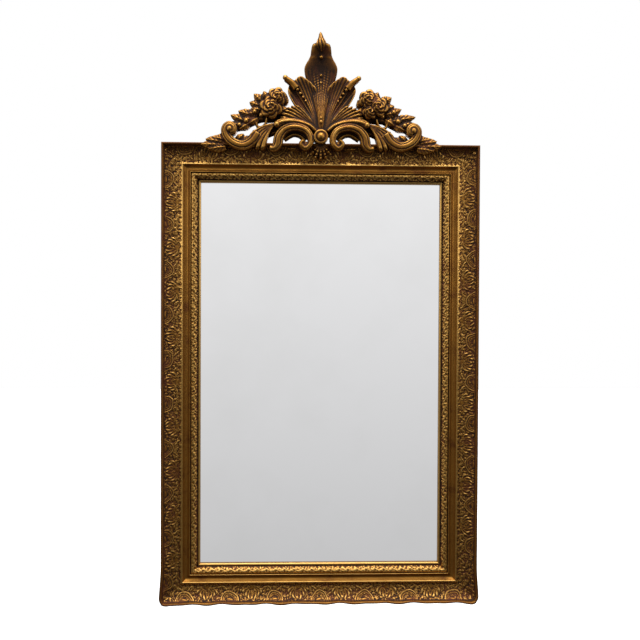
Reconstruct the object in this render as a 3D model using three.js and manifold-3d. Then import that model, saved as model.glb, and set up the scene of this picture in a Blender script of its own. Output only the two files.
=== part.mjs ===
// A gilt wall mirror with a pierced crest: four mitred rails with a carved cove, a mirror plate,
// a back board, and one crest of shell leaves, scrolls and roses.
// Millimetres, +Z up, +X to the viewer's right, the wall at Y = 0 and the front towards -Y.
// The origin is on the wall, at the middle of the flat back of the top rail.
import * as THREE from "three";
import { mergeVertices } from "three/addons/utils/BufferGeometryUtils.js";
import Module from "manifold-3d";

const wasm = await Module();
wasm.setup();

// The frame
const frameWidth = 800;
const frameHeight = 1160;
const railWidth = 95;
const rabbetWidth = 10;
const rabbetDepth = 14;
const gap = 0.3; // between pieces that touch
const topEdge = (railWidth - rabbetWidth) / 2; // the frame's top edge above the origin
const bottomEdge = topEdge - frameHeight;
const cornerRound = 18; // the two lower corners

// The moulding, measured across from the outer edge and out from the wall
const beadTop = 58; // the outer edge, the highest line of the moulding
const beadWidth = 6;
const beadFoot = 54;
const coveFoot = 33;
const coveEnd = 42;
const filletTop = 37.5;
const filletStart = 50;
const filletEnd = 51.8;
const hollowFloor = 29.3; // the plain hollow between the cove and the band
const hollowEnd = 70;
const quirkFloor = 30.5;
const bandStart = 73;
const bandEnd = 88;
const bandTop = 33.5;
const sightTop = 22;
const sightStart = 90;

// The carving in the cove
const archReach = 19; // how far an arch comes in from the outer edge
const archHalf = 20;
const cupHalf = 18;
const cupReach = 21;
const cupFoot = 38; // where the ends of a cup stand
const ridgeHalf = 4.2;
const ridgeRise = 5.5;
const rootDepth = 2.5; // how far carving is sunk into its ground
const endMargin = 58; // from a corner to the first arch

// The plate and the board in the rabbet
const plateThickness = 4;
const boardThickness = 6;
const rabbetPlay = 1;

// The crest, measured up from the frame's top edge and out from the wall
const crestBack = 36;
const crestWaste = 32; // where carving is begun, before its back is planed flat
const leafThickness = 18;
const fanRoot = 4;
const leafTip = 1; // half the width of a leaf at its point
const middleShift = -2.5; // the middle of the crest stands a little to the left
const ribRise = 4;
const railClear = 8; // kept free over the cove, for its carving

const gilt = new THREE.MeshStandardMaterial({ color: 0x8a6a34, roughness: 0.45, metalness: 0.8 });
const brightGilt = new THREE.MeshStandardMaterial({ color: 0x9c7a3e, roughness: 0.4, metalness: 0.8 });
const mirror = new THREE.MeshStandardMaterial({ color: 0xdcdcde, roughness: 0.03, metalness: 1 });
const oldPine = new THREE.MeshStandardMaterial({ color: 0x8a6a48, roughness: 0.85, metalness: 0 });

// Moves every vertex of a geometry to where place() puts it.
function reshape(geometry, place) {
  const spots = geometry.attributes.position;
  for (let i = 0; i < spots.count; i += 1) {
    spots.setXYZ(i, ...place(spots.getX(i), spots.getY(i), spots.getZ(i)));
  }
  return geometry;
}

// A closed geometry as a solid that can be joined and cut, with its faces turned outwards.
function toSolid(geometry) {
  const bare = geometry.clone();
  bare.deleteAttribute("normal");
  bare.deleteAttribute("uv");
  const merged = mergeVertices(bare, 1e-4);
  const spots = merged.attributes.position;
  const triVerts = Uint32Array.from(merged.index.array);
  const corners = [new THREE.Vector3(), new THREE.Vector3(), new THREE.Vector3()];
  let volume = 0;
  for (let i = 0; i < triVerts.length; i += 3) {
    corners.forEach((corner, k) => corner.fromBufferAttribute(spots, triVerts[i + k]));
    volume += corners[0].dot(corners[1].cross(corners[2])) / 6;
  }
  if (volume < 0) {
    for (let i = 0; i < triVerts.length; i += 3) {
      [triVerts[i], triVerts[i + 1]] = [triVerts[i + 1], triVerts[i]];
    }
  }
  return new wasm.Manifold(new wasm.Mesh({ numProp: 3, vertProperties: spots.array, triVerts }));
}

function toGeometry(solid) {
  const { vertProperties, triVerts } = solid.getMesh();
  const geometry = new THREE.BufferGeometry();
  geometry.setAttribute("position", new THREE.BufferAttribute(vertProperties, 3));
  geometry.setIndex(new THREE.BufferAttribute(triVerts, 1));
  geometry.computeVertexNormals();
  return geometry;
}

function join(geometries) {
  return geometries.map(toSolid).reduce((whole, piece) => whole.add(piece));
}

// How far the bare cove stands out from the wall, at a distance across from the outer edge.
function coveHeight(across) {
  if (across >= coveEnd) {
    return coveFoot;
  }
  const turn = Math.min(1, (coveEnd - across) / (coveEnd - beadWidth));
  return coveFoot + (beadFoot - coveFoot) * (1 - Math.sqrt(1 - turn * turn));
}

// The section of a rail: across to the right, out from the wall upwards.
function mouldingSection() {
  const section = new THREE.Shape();
  section.moveTo(0, 0);
  section.lineTo(0, beadFoot - 1);
  section.quadraticCurveTo(0, beadTop, beadWidth / 2, beadTop);
  section.quadraticCurveTo(beadWidth, beadTop, beadWidth, beadFoot);
  section.absellipse(coveEnd, beadFoot, coveEnd - beadWidth, beadFoot - coveFoot, Math.PI, 1.5 * Math.PI);
  section.quadraticCurveTo(filletStart - 3, coveFoot, filletStart, filletTop);
  section.lineTo(filletEnd, filletTop);
  const hollowMiddle = (filletEnd + hollowEnd) / 2;
  section.quadraticCurveTo((filletEnd + hollowMiddle) / 2, hollowFloor, hollowMiddle, hollowFloor);
  section.quadraticCurveTo((hollowMiddle + hollowEnd) / 2, hollowFloor, hollowEnd, filletTop);
  section.lineTo(hollowEnd + 0.9, filletTop);
  section.lineTo(hollowEnd + 1.4, quirkFloor);
  section.lineTo(bandStart, quirkFloor);
  section.lineTo(bandStart + 0.3, bandTop);
  section.quadraticCurveTo(bandEnd - 3.5, bandTop + 1, bandEnd, sightTop);
  section.lineTo(bandEnd + 0.3, sightTop - 2);
  section.lineTo(sightStart - 0.3, sightTop - 2);
  section.lineTo(sightStart, sightTop);
  section.quadraticCurveTo(railWidth - 0.5, sightTop, railWidth, sightTop - 3);
  section.lineTo(railWidth, rabbetDepth);
  section.lineTo(railWidth - rabbetWidth, rabbetDepth);
  section.lineTo(railWidth - rabbetWidth, 0);
  return section;
}

// A ridge that follows route(0..1) over the cove, three-sided, with its root in the wood.
function coveRidge(route, steps) {
  const strip = new THREE.CylinderGeometry(1, 1, 1, 3, steps);
  return reshape(strip, (x, y, z) => {
    const t = y + 0.5;
    const [along, across] = route(t);
    const [nextAlong, nextAcross] = route(t + 0.01);
    const heading = Math.atan2(nextAcross - across, nextAlong - along);
    const side = (x / Math.sin(Math.PI / 3)) * ridgeHalf;
    const spot = across + Math.cos(heading) * side;
    const lift = ((z + 0.5) / 1.5) * (ridgeRise + rootDepth) - rootDepth;
    return [along - Math.sin(heading) * side, -coveHeight(spot) - lift, -spot];
  });
}

// The half oval that hangs from the outer edge.
function archMotif(middle) {
  const arch = (t) => {
    const turn = Math.PI * (0.04 + 0.92 * t);
    return [middle - archHalf * Math.cos(turn), beadWidth + 1 + archReach * Math.sin(turn)];
  };
  return coveRidge(arch, 4);
}

// The scroll between two arches: a cup that opens inwards.
function cupMotif(middle) {
  const cup = (t) => {
    const turn = Math.PI * (1.25 * t - 0.125);
    return [middle - cupHalf * Math.cos(turn), cupFoot - cupReach * Math.sin(turn)];
  };
  return coveRidge(cup, 4);
}

// A rail lies along +X from its outer corner, with its inner edge towards -Z and its front to -Y.
function railSolid(length, arches) {
  const drawn = { depth: 1, bevelEnabled: false, curveSegments: 2 };
  const bar = new THREE.ExtrudeGeometry(mouldingSection(), drawn);
  reshape(bar, (across, out, end) => {
    const mitre = across + gap / 2;
    return [end > 0.5 ? length - mitre : mitre, -out, -across];
  });
  const pitch = (length - 2 * endMargin) / (arches - 1);
  const pieces = [bar];
  for (let i = 0; i < arches; i += 1) {
    pieces.push(archMotif(endMargin + i * pitch));
  }
  for (let i = 0; i < arches - 1; i += 1) {
    pieces.push(cupMotif(endMargin + (i + 0.5) * pitch));
  }
  return join(pieces);
}

// What is taken off a lower corner: a square less a quarter round, through the whole depth.
function cornerWaste() {
  const over = 2;
  const outline = new THREE.Shape();
  outline.moveTo(-over, -over);
  outline.lineTo(cornerRound, -over);
  outline.lineTo(cornerRound, 0);
  outline.absarc(cornerRound, cornerRound, cornerRound, 1.5 * Math.PI, Math.PI, true);
  outline.lineTo(-over, cornerRound);
  const depth = beadTop + 4 * over;
  const waste = new THREE.ExtrudeGeometry(outline, { depth, bevelEnabled: false, curveSegments: 3 });
  return waste.rotateX(Math.PI / 2).translate(0, over, 0);
}

// A block bent by place(along, across, front): along 0 to 1, across -1 to 1, front true on its face.
function bentBlock(alongSteps, acrossSteps, place) {
  const block = new THREE.BoxGeometry(1, 2, 1, alongSteps, acrossSteps, 1);
  return reshape(block, (x, y, z) => {
    const [side, out, up] = place(x + 0.5, y, z > 0);
    return [side, -out, up];
  });
}

// A smooth value along a leaf or a rim, through pairs of place and size.
function through(...pairs) {
  const places = pairs.map(([place]) => place);
  const sizes = pairs.map(([, size]) => size);
  const curve = new THREE.CubicInterpolant(places, sizes, 1);
  return (place) => curve.evaluate(place)[0];
}

// A shell or leaf whose ribs spread from its foot. Angles run clockwise from straight up.
function ribbedFan({ foot, from, to, reach, bend = 0, ribs, steps, face }) {
  return bentBlock(steps, ribs * 2, (along, across, front) => {
    const share = (across + 1) / 2;
    const lean = THREE.MathUtils.degToRad(from + (to - from) * share + bend * (1 - along));
    const radius = fanRoot + (reach(share) - fanRoot) * along;
    const rib = ribRise * Math.abs(Math.sin(share * ribs * Math.PI)) * Math.min(1, 0.3 + along);
    const out = front ? face(along) + rib : crestWaste;
    return [foot[0] + radius * Math.sin(lean), out, foot[1] + radius * Math.cos(lean)];
  });
}

// A moulded band along a curve in the plane of the crest, with a groove down its middle.
function scrollBand({ points, steps, lanes = 4, width, face }) {
  const route = new THREE.SplineCurve(points.map(([x, z]) => new THREE.Vector2(x, z)));
  return bentBlock(steps, lanes, (along, across, front) => {
    const spot = route.getPoint(along);
    const heading = route.getTangent(along);
    const side = (across * width(along)) / 2;
    const crown = 5 * Math.sin(Math.abs(across) * Math.PI) - 4 * Math.abs(across) ** 3;
    const out = front ? face(along) + crown : crestWaste;
    return [spot.x - heading.y * side, out, spot.y + heading.x * side];
  });
}

// A pointed leaf from its root to its tip, arched forward, with a raised vein.
function pointedLeaf({ root, tip, width, face }) {
  const run = new THREE.Vector2(tip[0] - root[0], tip[1] - root[1]);
  const normal = new THREE.Vector2(-run.y, run.x).normalize();
  return bentBlock(2, 2, (along, across, front) => {
    const half = (width / 2) * Math.sin(Math.PI * (0.2 + 0.8 * along)) + leafTip;
    const arch = 5 * Math.sin(Math.PI * along) + 3 * (1 - Math.abs(across));
    const out = front ? face + arch : crestWaste;
    const side = across * half;
    return [root[0] + run.x * along + normal.x * side, out, root[1] + run.y * along + normal.y * side];
  });
}

// An open rose: a flattened ball whose rim and face swell into petals.
function rose([x, z], radius) {
  const petals = 5;
  const depth = 17;
  const middle = 56;
  return reshape(new THREE.SphereGeometry(1, 14, 5), (px, py, pz) => {
    const turn = Math.atan2(pz, px);
    const spread = Math.hypot(px, pz);
    const swell = 1 + 0.1 * spread * Math.cos(petals * turn);
    const cup = py < 0 ? 3 * Math.cos(petals * turn + 7 * spread) * spread : 0;
    const out = py > 0.5 ? crestWaste : middle - py * depth + cup;
    return [x + px * radius * swell, -out, z + pz * radius * swell];
  });
}

function bead([x, z], out, radius) {
  return new THREE.SphereGeometry(radius, 5, 3).translate(x, -out, z);
}

// The tall leaf in the middle: narrow at its foot, full at two thirds, its tip rolled forward.
function middleLeaf() {
  const foot = 30;
  const height = 219;
  const half = through([0, 10], [0.2, 12.5], [0.45, 24], [0.55, 33.5], [0.7, 41.5], [0.79, 35.5], [0.86, 26.8],
    [0.93, 24.5], [1, 15]);
  const face = through([0, 61], [0.3, 57], [0.55, 50], [0.7, 53], [0.84, 61], [0.95, 71], [1, 63]);
  return bentBlock(9, 4, (along, across, front) => {
    const flute = ribRise * Math.abs(Math.sin(across * Math.PI)) - 5 * across * across;
    const surface = face(along) + flute;
    const out = front ? surface : Math.max(crestWaste, surface - leafThickness);
    return [across * half(along), out, foot + height * along];
  });
}

// The bud that stands on the rolled tip.
function topBud() {
  const foot = 230;
  const height = 47;
  return bentBlock(3, 2, (along, across, front) => {
    const half = 14 * (1 - along) ** 0.8;
    const out = front ? 74 + 3 * (1 - Math.abs(across)) - 14 * along : 46;
    return [across * half, out, foot + height * along];
  });
}

// The boss under the leaf: a domed button in a ring.
function boss() {
  const profile = new THREE.Shape();
  profile.moveTo(0, crestWaste);
  profile.lineTo(18, crestWaste);
  profile.lineTo(18, 66);
  profile.lineTo(15, 70);
  profile.lineTo(11.5, 66);
  profile.quadraticCurveTo(10, 76, 0, 77);
  const turned = new THREE.LatheGeometry(profile.extractPoints(3).shape, 12);
  return reshape(turned, (x, y, z) => [x, -y, z + 15]);
}

// The palmette that hangs from the boss over the cove.
function pendant() {
  const reach = (share) => 30 + 21 * Math.sin(Math.PI * share) ** 2;
  const face = (along) => 66 - 14 * along * along;
  return ribbedFan({ foot: [0, 0], from: 118, to: 242, reach, ribs: 4, steps: 2, face });
}

// One half of the crest's carving, built to the right.
function crestHalf({ leaves, buds, garland }) {
  const upperReach = through([0, 110], [0.15, 128], [0.35, 148], [0.55, 147], [0.8, 137], [0.92, 122],
    [1, 106]);
  const lowerReach = (share) => 92 + 10 * Math.sin(Math.PI * share);
  const outerReach = (share) => 68 + 12 * Math.sin(Math.PI * share);
  const sprayReach = (share) => 48 + 20 * Math.cos(Math.PI * (share - 0.3));
  return [
    ribbedFan({ foot: [7, 25], from: 7, to: 43, reach: upperReach, bend: -6, ribs: 4, steps: 3,
      face: (along) => 58 - 18 * along + 20 * along * along }),
    ribbedFan({ foot: [8, 24], from: 43, to: 72, reach: lowerReach, bend: -8, ribs: 3, steps: 3,
      face: (along) => 60 - 8 * along + 10 * along * along }),
    pointedLeaf({ root: [68, 142], tip: [96, 169], width: 16, face: 54 }),
    scrollBand({ points: [[45, 5], [52, -3], [42, -13], [30, -3], [29, 14], [38, 29], [56, 37], [76, 38],
      [94, 31], [105, 15], [114, -16]], steps: 14, width: (t) => 9 + 16 * t, face: (t) => 66 - 6 * t }),
    scrollBand({ points: [[40, 14], [56, 25], [74, 26], [94, 14]], steps: 3, lanes: 2,
      width: () => 17, face: () => 49 }),
    scrollBand({ points: [[10, 20], [38, 42], [68, 51], [98, 51], [130, 42]], steps: 5,
      width: (t) => 5 + 11 * Math.sin(Math.PI * t), face: () => 60 }),
    ribbedFan({ foot: [118, 47], from: 121, to: 153, reach: outerReach, bend: -18, ribs: 3, steps: 3,
      face: (along) => 58 + 6 * along }),
    scrollBand({ points: [[166, 16], [184, -1], [204, -5], [224, 1], [239, 13], [245, 26], [240, 37],
      [230, 37], [226, 29], [233, 25]], steps: 10, width: (t) => 19 - 11 * t, face: () => 62 }),
    ribbedFan({ foot: [228, 4], from: 84, to: 126, reach: sprayReach, bend: 8, ribs: 3, steps: 2,
      face: (along) => 66 - 3 * along }),
    scrollBand({ points: garland, steps: 4, lanes: 2, width: (t) => 38 - 18 * t * t, face: () => 52 }),
    rose([118, 108], 29),
    rose([125, 80], 27),
    ...leaves.map(([root, tip, width]) => pointedLeaf({ root, tip, width, face: 56 })),
    ...buds.map((place) => bead(place, 58, 8)),
    bead([43, -2], 62, 8),
  ];
}

const leftHalf = crestHalf({
  leaves: [[[138, 105], [147, 130], 20], [[148, 98], [173, 122], 24], [[152, 90], [184, 102], 20],
    [[150, 84], [180, 84], 18], [[180, 62], [213, 79], 22], [[194, 50], [228, 66], 20],
    [[200, 38], [232, 50], 16]],
  buds: [[162, 76], [180, 54], [200, 44]],
  garland: [[130, 72], [164, 66], [196, 46], [230, 30]],
});
const rightHalf = crestHalf({
  leaves: [[[130, 108], [140, 131], 18], [[143, 98], [171, 118], 24], [[148, 86], [176, 90], 18],
    [[165, 76], [197, 91], 22], [[186, 58], [232, 71], 18], [[198, 44], [228, 53], 16]],
  buds: [[156, 74], [176, 62], [200, 46]],
  garland: [[126, 72], [160, 66], [192, 46], [230, 30]],
});

// The room that the top rail and its carving take under the crest.
function railRoom() {
  const reach = railWidth;
  const outline = new THREE.Shape();
  outline.moveTo(-gap, -reach);
  outline.lineTo(-gap, beadTop + gap);
  outline.lineTo(beadWidth + gap, beadTop + gap);
  for (let across = beadWidth + 4; across < coveEnd; across += 12) {
    outline.lineTo(across, coveHeight(across) + railClear);
  }
  outline.lineTo(reach, coveFoot + railClear);
  outline.lineTo(reach, -reach);
  const room = new THREE.ExtrudeGeometry(outline, { depth: frameWidth, bevelEnabled: false });
  return reshape(room, (across, out, along) => [along - frameWidth / 2, -out, -across]);
}

function crestSolid() {
  const mirrored = leftHalf.map((geometry) => geometry.scale(-1, 1, 1));
  const middle = [middleLeaf(), topBud(), boss(), pendant()];
  middle.forEach((geometry) => geometry.translate(middleShift, 0, 0));
  const whole = join([...middle, ...mirrored, ...rightHalf]);
  const planed = new THREE.BoxGeometry(frameWidth, 2 * crestBack, frameWidth);
  return whole.subtract(toSolid(planed)).subtract(toSolid(railRoom()));
}

const wallMirror = new THREE.Group();

function addPiece(name, geometry, material) {
  const piece = new THREE.Mesh(geometry, material);
  piece.name = name;
  wallMirror.add(piece);
  return piece;
}

// Rails in order round the frame, each turned a quarter more than the last.
const rails = [
  { name: "top_rail", length: frameWidth, arches: 7, corner: [-frameWidth / 2, topEdge] },
  { name: "right_rail", length: frameHeight, arches: 11, corner: [frameWidth / 2, topEdge], roundEnd: true },
  { name: "bottom_rail", length: frameWidth, arches: 7, corner: [frameWidth / 2, bottomEdge],
    roundStart: true, roundEnd: true },
  { name: "left_rail", length: frameHeight, arches: 10, corner: [-frameWidth / 2, bottomEdge],
    roundStart: true },
];
rails.forEach(({ name, length, arches, corner, roundStart, roundEnd }, turn) => {
  let solid = railSolid(length, arches);
  if (roundStart) {
    solid = solid.subtract(toSolid(cornerWaste().scale(1, 1, -1)));
  }
  if (roundEnd) {
    solid = solid.subtract(toSolid(cornerWaste().scale(-1, 1, -1).translate(length, 0, 0)));
  }
  const rail = addPiece(name, toGeometry(solid), gilt);
  rail.rotation.y = (turn * Math.PI) / 2;
  rail.position.set(corner[0], 0, corner[1]);
});

const plateInset = 2 * (railWidth - rabbetWidth + rabbetPlay);
const plateWidth = frameWidth - plateInset;
const plateHeight = frameHeight - plateInset;
const frameMiddle = (topEdge + bottomEdge) / 2;
const plateFront = rabbetDepth - gap;
const boardFront = plateFront - plateThickness - gap;

const plateGeometry = new THREE.BoxGeometry(plateWidth, plateThickness, plateHeight);
const plate = addPiece("mirror_plate", plateGeometry, mirror);
plate.position.set(0, plateThickness / 2 - plateFront, frameMiddle);

const boardGeometry = new THREE.BoxGeometry(plateWidth, boardThickness, plateHeight);
const board = addPiece("back_board", boardGeometry, oldPine);
board.position.set(0, boardThickness / 2 - boardFront, frameMiddle);

const crest = addPiece("crest", toGeometry(crestSolid()), brightGilt);
crest.position.z = topEdge;

export default wallMirror;
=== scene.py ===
# A gilt wall mirror with a pierced crest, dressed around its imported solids.
# Shapes are worked out in millimetres and kept in metres.
import math

import bmesh
import bpy
import numpy as np
from mathutils import Matrix, Vector


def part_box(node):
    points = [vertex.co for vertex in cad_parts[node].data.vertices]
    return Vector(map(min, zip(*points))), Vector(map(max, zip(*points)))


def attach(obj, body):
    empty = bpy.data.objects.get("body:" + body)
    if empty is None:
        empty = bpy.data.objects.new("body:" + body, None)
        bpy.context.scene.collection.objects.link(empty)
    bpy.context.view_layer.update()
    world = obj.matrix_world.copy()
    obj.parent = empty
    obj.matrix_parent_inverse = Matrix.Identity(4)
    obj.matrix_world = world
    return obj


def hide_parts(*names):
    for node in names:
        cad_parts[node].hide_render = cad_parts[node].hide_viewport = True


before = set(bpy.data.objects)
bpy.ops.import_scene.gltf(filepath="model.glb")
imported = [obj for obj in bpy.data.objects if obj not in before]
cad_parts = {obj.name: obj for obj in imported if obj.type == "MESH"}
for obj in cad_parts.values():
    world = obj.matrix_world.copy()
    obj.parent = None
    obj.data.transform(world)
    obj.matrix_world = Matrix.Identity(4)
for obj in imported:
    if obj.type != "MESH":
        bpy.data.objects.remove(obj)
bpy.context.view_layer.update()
mm = 0.001
topLow, topHigh = (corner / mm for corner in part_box("top_rail"))
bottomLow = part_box("bottom_rail")[0] / mm
frameLeft, frameRight = topLow.x, topHigh.x
frameTop, frameBottom = topHigh.z, bottomLow.z
frameWidth, frameHeight = frameRight - frameLeft, frameTop - frameBottom
print("frame loaded")


# Small helpers

def swell(distance, half):  # a smooth rise, 1 in its middle
    return np.exp(-((distance / half) ** 2))


def ease(value, low, high):  # 0 before low, 1 after high
    share = np.clip((value - low) / (high - low), 0, 1)
    return share * share * (3 - 2 * share)


def scatter(cellX, cellY, salt):  # the same loose number between 0 and 1 for a cell each time
    return np.mod(np.sin(cellX * 127.1 + cellY * 311.7 + salt * 74.7) * 43758.5453, 1)


def through(*pairs):  # a smooth value through pairs of place and size
    places = np.array([pair[0] for pair in pairs], float)
    sizes = np.array([pair[1] for pair in pairs], float)
    slopes = np.gradient(sizes, places)

    def value(place):
        k = int(np.clip(np.searchsorted(places, place) - 1, 0, len(places) - 2))
        run = places[k + 1] - places[k]
        t = (place - places[k]) / run
        rise = sizes[k + 1] - sizes[k]
        start, end = slopes[k] * run, slopes[k + 1] * run
        return sizes[k] + t * (start + t * (3 * rise - 2 * start - end + t * (start + end - 2 * rise)))

    return value


def readSpots(mesh, kind="co"):
    spots = np.empty(len(mesh.vertices) * 3)
    mesh.vertices.foreach_get(kind, spots)
    return spots.reshape(-1, 3)


def writeSpots(mesh, spots):
    mesh.vertices.foreach_set("co", np.ascontiguousarray(spots, float).ravel())
    mesh.update()


def writeMask(mesh, name, values):
    mask = mesh.attributes.new(name, "FLOAT", "POINT")
    mask.data.foreach_set("value", np.ascontiguousarray(values, np.float32))


def newObject(name, data):
    item = bpy.data.objects.new(name, data)
    bpy.context.collection.objects.link(item)
    return item


def newMesh(name, bm):
    mesh = bpy.data.meshes.new(name)
    bm.to_mesh(mesh)
    bm.free()
    return mesh


def closeUp(bm, gap):  # joins points that meet and fills what is left open
    bmesh.ops.remove_doubles(bm, verts=bm.verts, dist=gap)
    bmesh.ops.holes_fill(bm, edges=[edge for edge in bm.edges if edge.is_boundary], sides=0)


def addPiece(name, mesh, materials, node):
    piece = newObject(name, mesh)
    for material in materials:
        mesh.materials.append(material)
    mesh.polygons.foreach_set("use_smooth", [True] * len(mesh.polygons))
    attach(piece, "root")
    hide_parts(node)
    print(name, len(mesh.polygons), "faces")


# Finishes

def newNode(tree, kind, **values):
    node = tree.nodes.new(kind)
    for key, value in values.items():
        if key in node.inputs:
            node.inputs[key].default_value = value
        else:
            setattr(node, key, value)
    return node


def ramp(tree, fac, stops):
    node = newNode(tree, "ShaderNodeValToRGB")
    elements = node.color_ramp.elements
    while len(elements) < len(stops):
        elements.new(0.5)
    for element, (place, colour) in zip(elements, stops):
        element.position = place
        element.color = (*colour, 1) if isinstance(colour, tuple) else (colour, colour, colour, 1)
    tree.links.new(fac, node.inputs["Fac"])
    return node.outputs["Color"]


def mathNode(tree, operation, first, second):
    node = newNode(tree, "ShaderNodeMath", operation=operation)
    for socket, value in zip(node.inputs, (first, second)):
        if isinstance(value, (int, float)):
            socket.default_value = value
        else:
            tree.links.new(value, socket)
    return node.outputs["Value"]


def noiseNode(tree, place, scale, detail=3.0, roughness=0.55):
    node = newNode(tree, "ShaderNodeTexNoise", Scale=scale, Detail=detail, Roughness=roughness)
    tree.links.new(place, node.inputs["Vector"])
    return node.outputs["Fac"]


def mixColour(tree, fac, first, second):
    node = newNode(tree, "ShaderNodeMix", data_type="RGBA")
    for socket, value in ((node.inputs[0], fac), (node.inputs[6], first), (node.inputs[7], second)):
        if isinstance(value, tuple):
            socket.default_value = (*value, 1)
        else:
            tree.links.new(value, socket)
    return node.outputs[2]


giltLook = {
    # the palest gold shows on rubbed high points and on painted highlights; the darkest shows on grime
    # in the deepest hollows and on painted shade
    "rubbedAndLit": (0.56, 0.325, 0.090),
    "leaf": (0.350, 0.160, 0.026),
    "toned": (0.155, 0.058, 0.0080),
    "grimeAndShade": (0.020, 0.0068, 0.0018),
    "agesAndShades": (0.16, 0.36, 0.60, 0.86),  # where those four lie, from new to old, and from painted highlight to painted shade
    "redGround": (0.115, 0.030, 0.009),
    "worn": ((0.66, 0.0), (0.78, 0.55)), "wornInHollows": 0.22,
    "patchScale": 26.0, "patchStray": 0.30,  # broad toning
    "grainScale": 330.0, "grainStray": 0.22,  # fine crackle and dust
    "metallic": ((0.30, 0.96), (0.85, 0.60)),
    "roughness": ((0.15, 0.36), (0.50, 0.46), (0.85, 0.66)),
    "patchHeight": 0.6, "bumpStrength": 0.5, "bumpDepth": 0.5,
    # the crest's tone is painted shade: the same gilt as the rails, darker all over
    "railTone": 0.0, "crestToneAndShade": 0.31,
}


def strayed(tree, noise, amount):  # a noise about zero
    return mathNode(tree, "MULTIPLY", mathNode(tree, "SUBTRACT", noise, 0.5), amount)


def makeGiltGroup():
    look = giltLook
    tree = bpy.data.node_groups.new("agedGilt", "ShaderNodeTree")
    tree.interface.new_socket("Tone", in_out="INPUT", socket_type="NodeSocketFloat")
    for name, kind in (("Color", "NodeSocketColor"), ("Metallic", "NodeSocketFloat"),
                       ("Roughness", "NodeSocketFloat"), ("Height", "NodeSocketFloat")):
        tree.interface.new_socket(name, in_out="OUTPUT", socket_type=kind)
    given = newNode(tree, "NodeGroupInput")
    result = newNode(tree, "NodeGroupOutput")
    place = newNode(tree, "ShaderNodeTexCoord").outputs["Object"]
    hollow = newNode(tree, "ShaderNodeAttribute", attribute_name="hollow").outputs["Fac"]
    patch = noiseNode(tree, place, look["patchScale"], 4.0)
    grain = noiseNode(tree, place, look["grainScale"], 2.0)

    # the hollow mask with its painted shade and highlights, loosened by the toning and the grain and
    # moved by the piece's own tone, which on the crest is painted shade
    ageAndShade = mathNode(tree, "ADD", hollow, strayed(tree, patch, look["patchStray"]))
    ageAndShade = mathNode(tree, "ADD", ageAndShade, strayed(tree, grain, look["grainStray"]))
    ageAndShade = mathNode(tree, "ADD", ageAndShade, given.outputs["Tone"])
    golds = (look["rubbedAndLit"], look["leaf"], look["toned"], look["grimeAndShade"])
    gold = ramp(tree, ageAndShade, tuple(zip(look["agesAndShades"], golds)))
    wear = mathNode(tree, "ADD", patch, mathNode(tree, "MULTIPLY", hollow, look["wornInHollows"]))
    colour = mixColour(tree, ramp(tree, wear, look["worn"]), gold, look["redGround"])
    height = mathNode(tree, "ADD", grain, mathNode(tree, "MULTIPLY", patch, look["patchHeight"]))
    tree.links.new(colour, result.inputs["Color"])
    tree.links.new(ramp(tree, ageAndShade, look["metallic"]), result.inputs["Metallic"])
    tree.links.new(ramp(tree, ageAndShade, look["roughness"]), result.inputs["Roughness"])
    tree.links.new(height, result.inputs["Height"])
    return tree


def newMaterial(name, **values):
    material = bpy.data.materials.new(name)
    material.use_nodes = True
    shader = material.node_tree.nodes["Principled BSDF"]
    for key, value in values.items():
        shader.inputs[key].default_value = value
    return material, material.node_tree, shader


def addRelief(tree, shader, look, height):
    depth = look["bumpDepth"] * mm
    relief = newNode(tree, "ShaderNodeBump", Strength=look["bumpStrength"], Distance=depth)
    tree.links.new(height, relief.inputs["Height"])
    tree.links.new(relief.outputs["Normal"], shader.inputs["Normal"])


def giltMaterial(name, group, tone):
    material, tree, shader = newMaterial(name)
    gilt = newNode(tree, "ShaderNodeGroup", node_tree=group)
    gilt.inputs["Tone"].default_value = tone
    tree.links.new(gilt.outputs["Color"], shader.inputs["Base Color"])
    for key in ("Metallic", "Roughness"):
        tree.links.new(gilt.outputs[key], shader.inputs[key])
    addRelief(tree, shader, giltLook, gilt.outputs["Height"])
    return material


pineLook = {
    "pale": (0.40, 0.255, 0.135),
    "ring": (0.235, 0.130, 0.060),
    "dust": (0.130, 0.085, 0.050),
    "seam": (0.02, 0.012, 0.008),
    "ringScale": 34.0, "ringStray": 7.0, "ringDetail": 3.0,
    "grainRun": 0.07,  # draws the rings out along the wood
    "dustScale": 9.0, "dusting": ((0.38, 0.0), (0.72, 0.75)),
    "roughness": ((0.3, 0.62), (0.7, 0.86)),
    "boardWidth": 157.0, "seamEdge": ((0.492, 0.0), (0.496, 1.0)),
    "bumpStrength": 0.35, "bumpDepth": 0.4,
}


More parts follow.
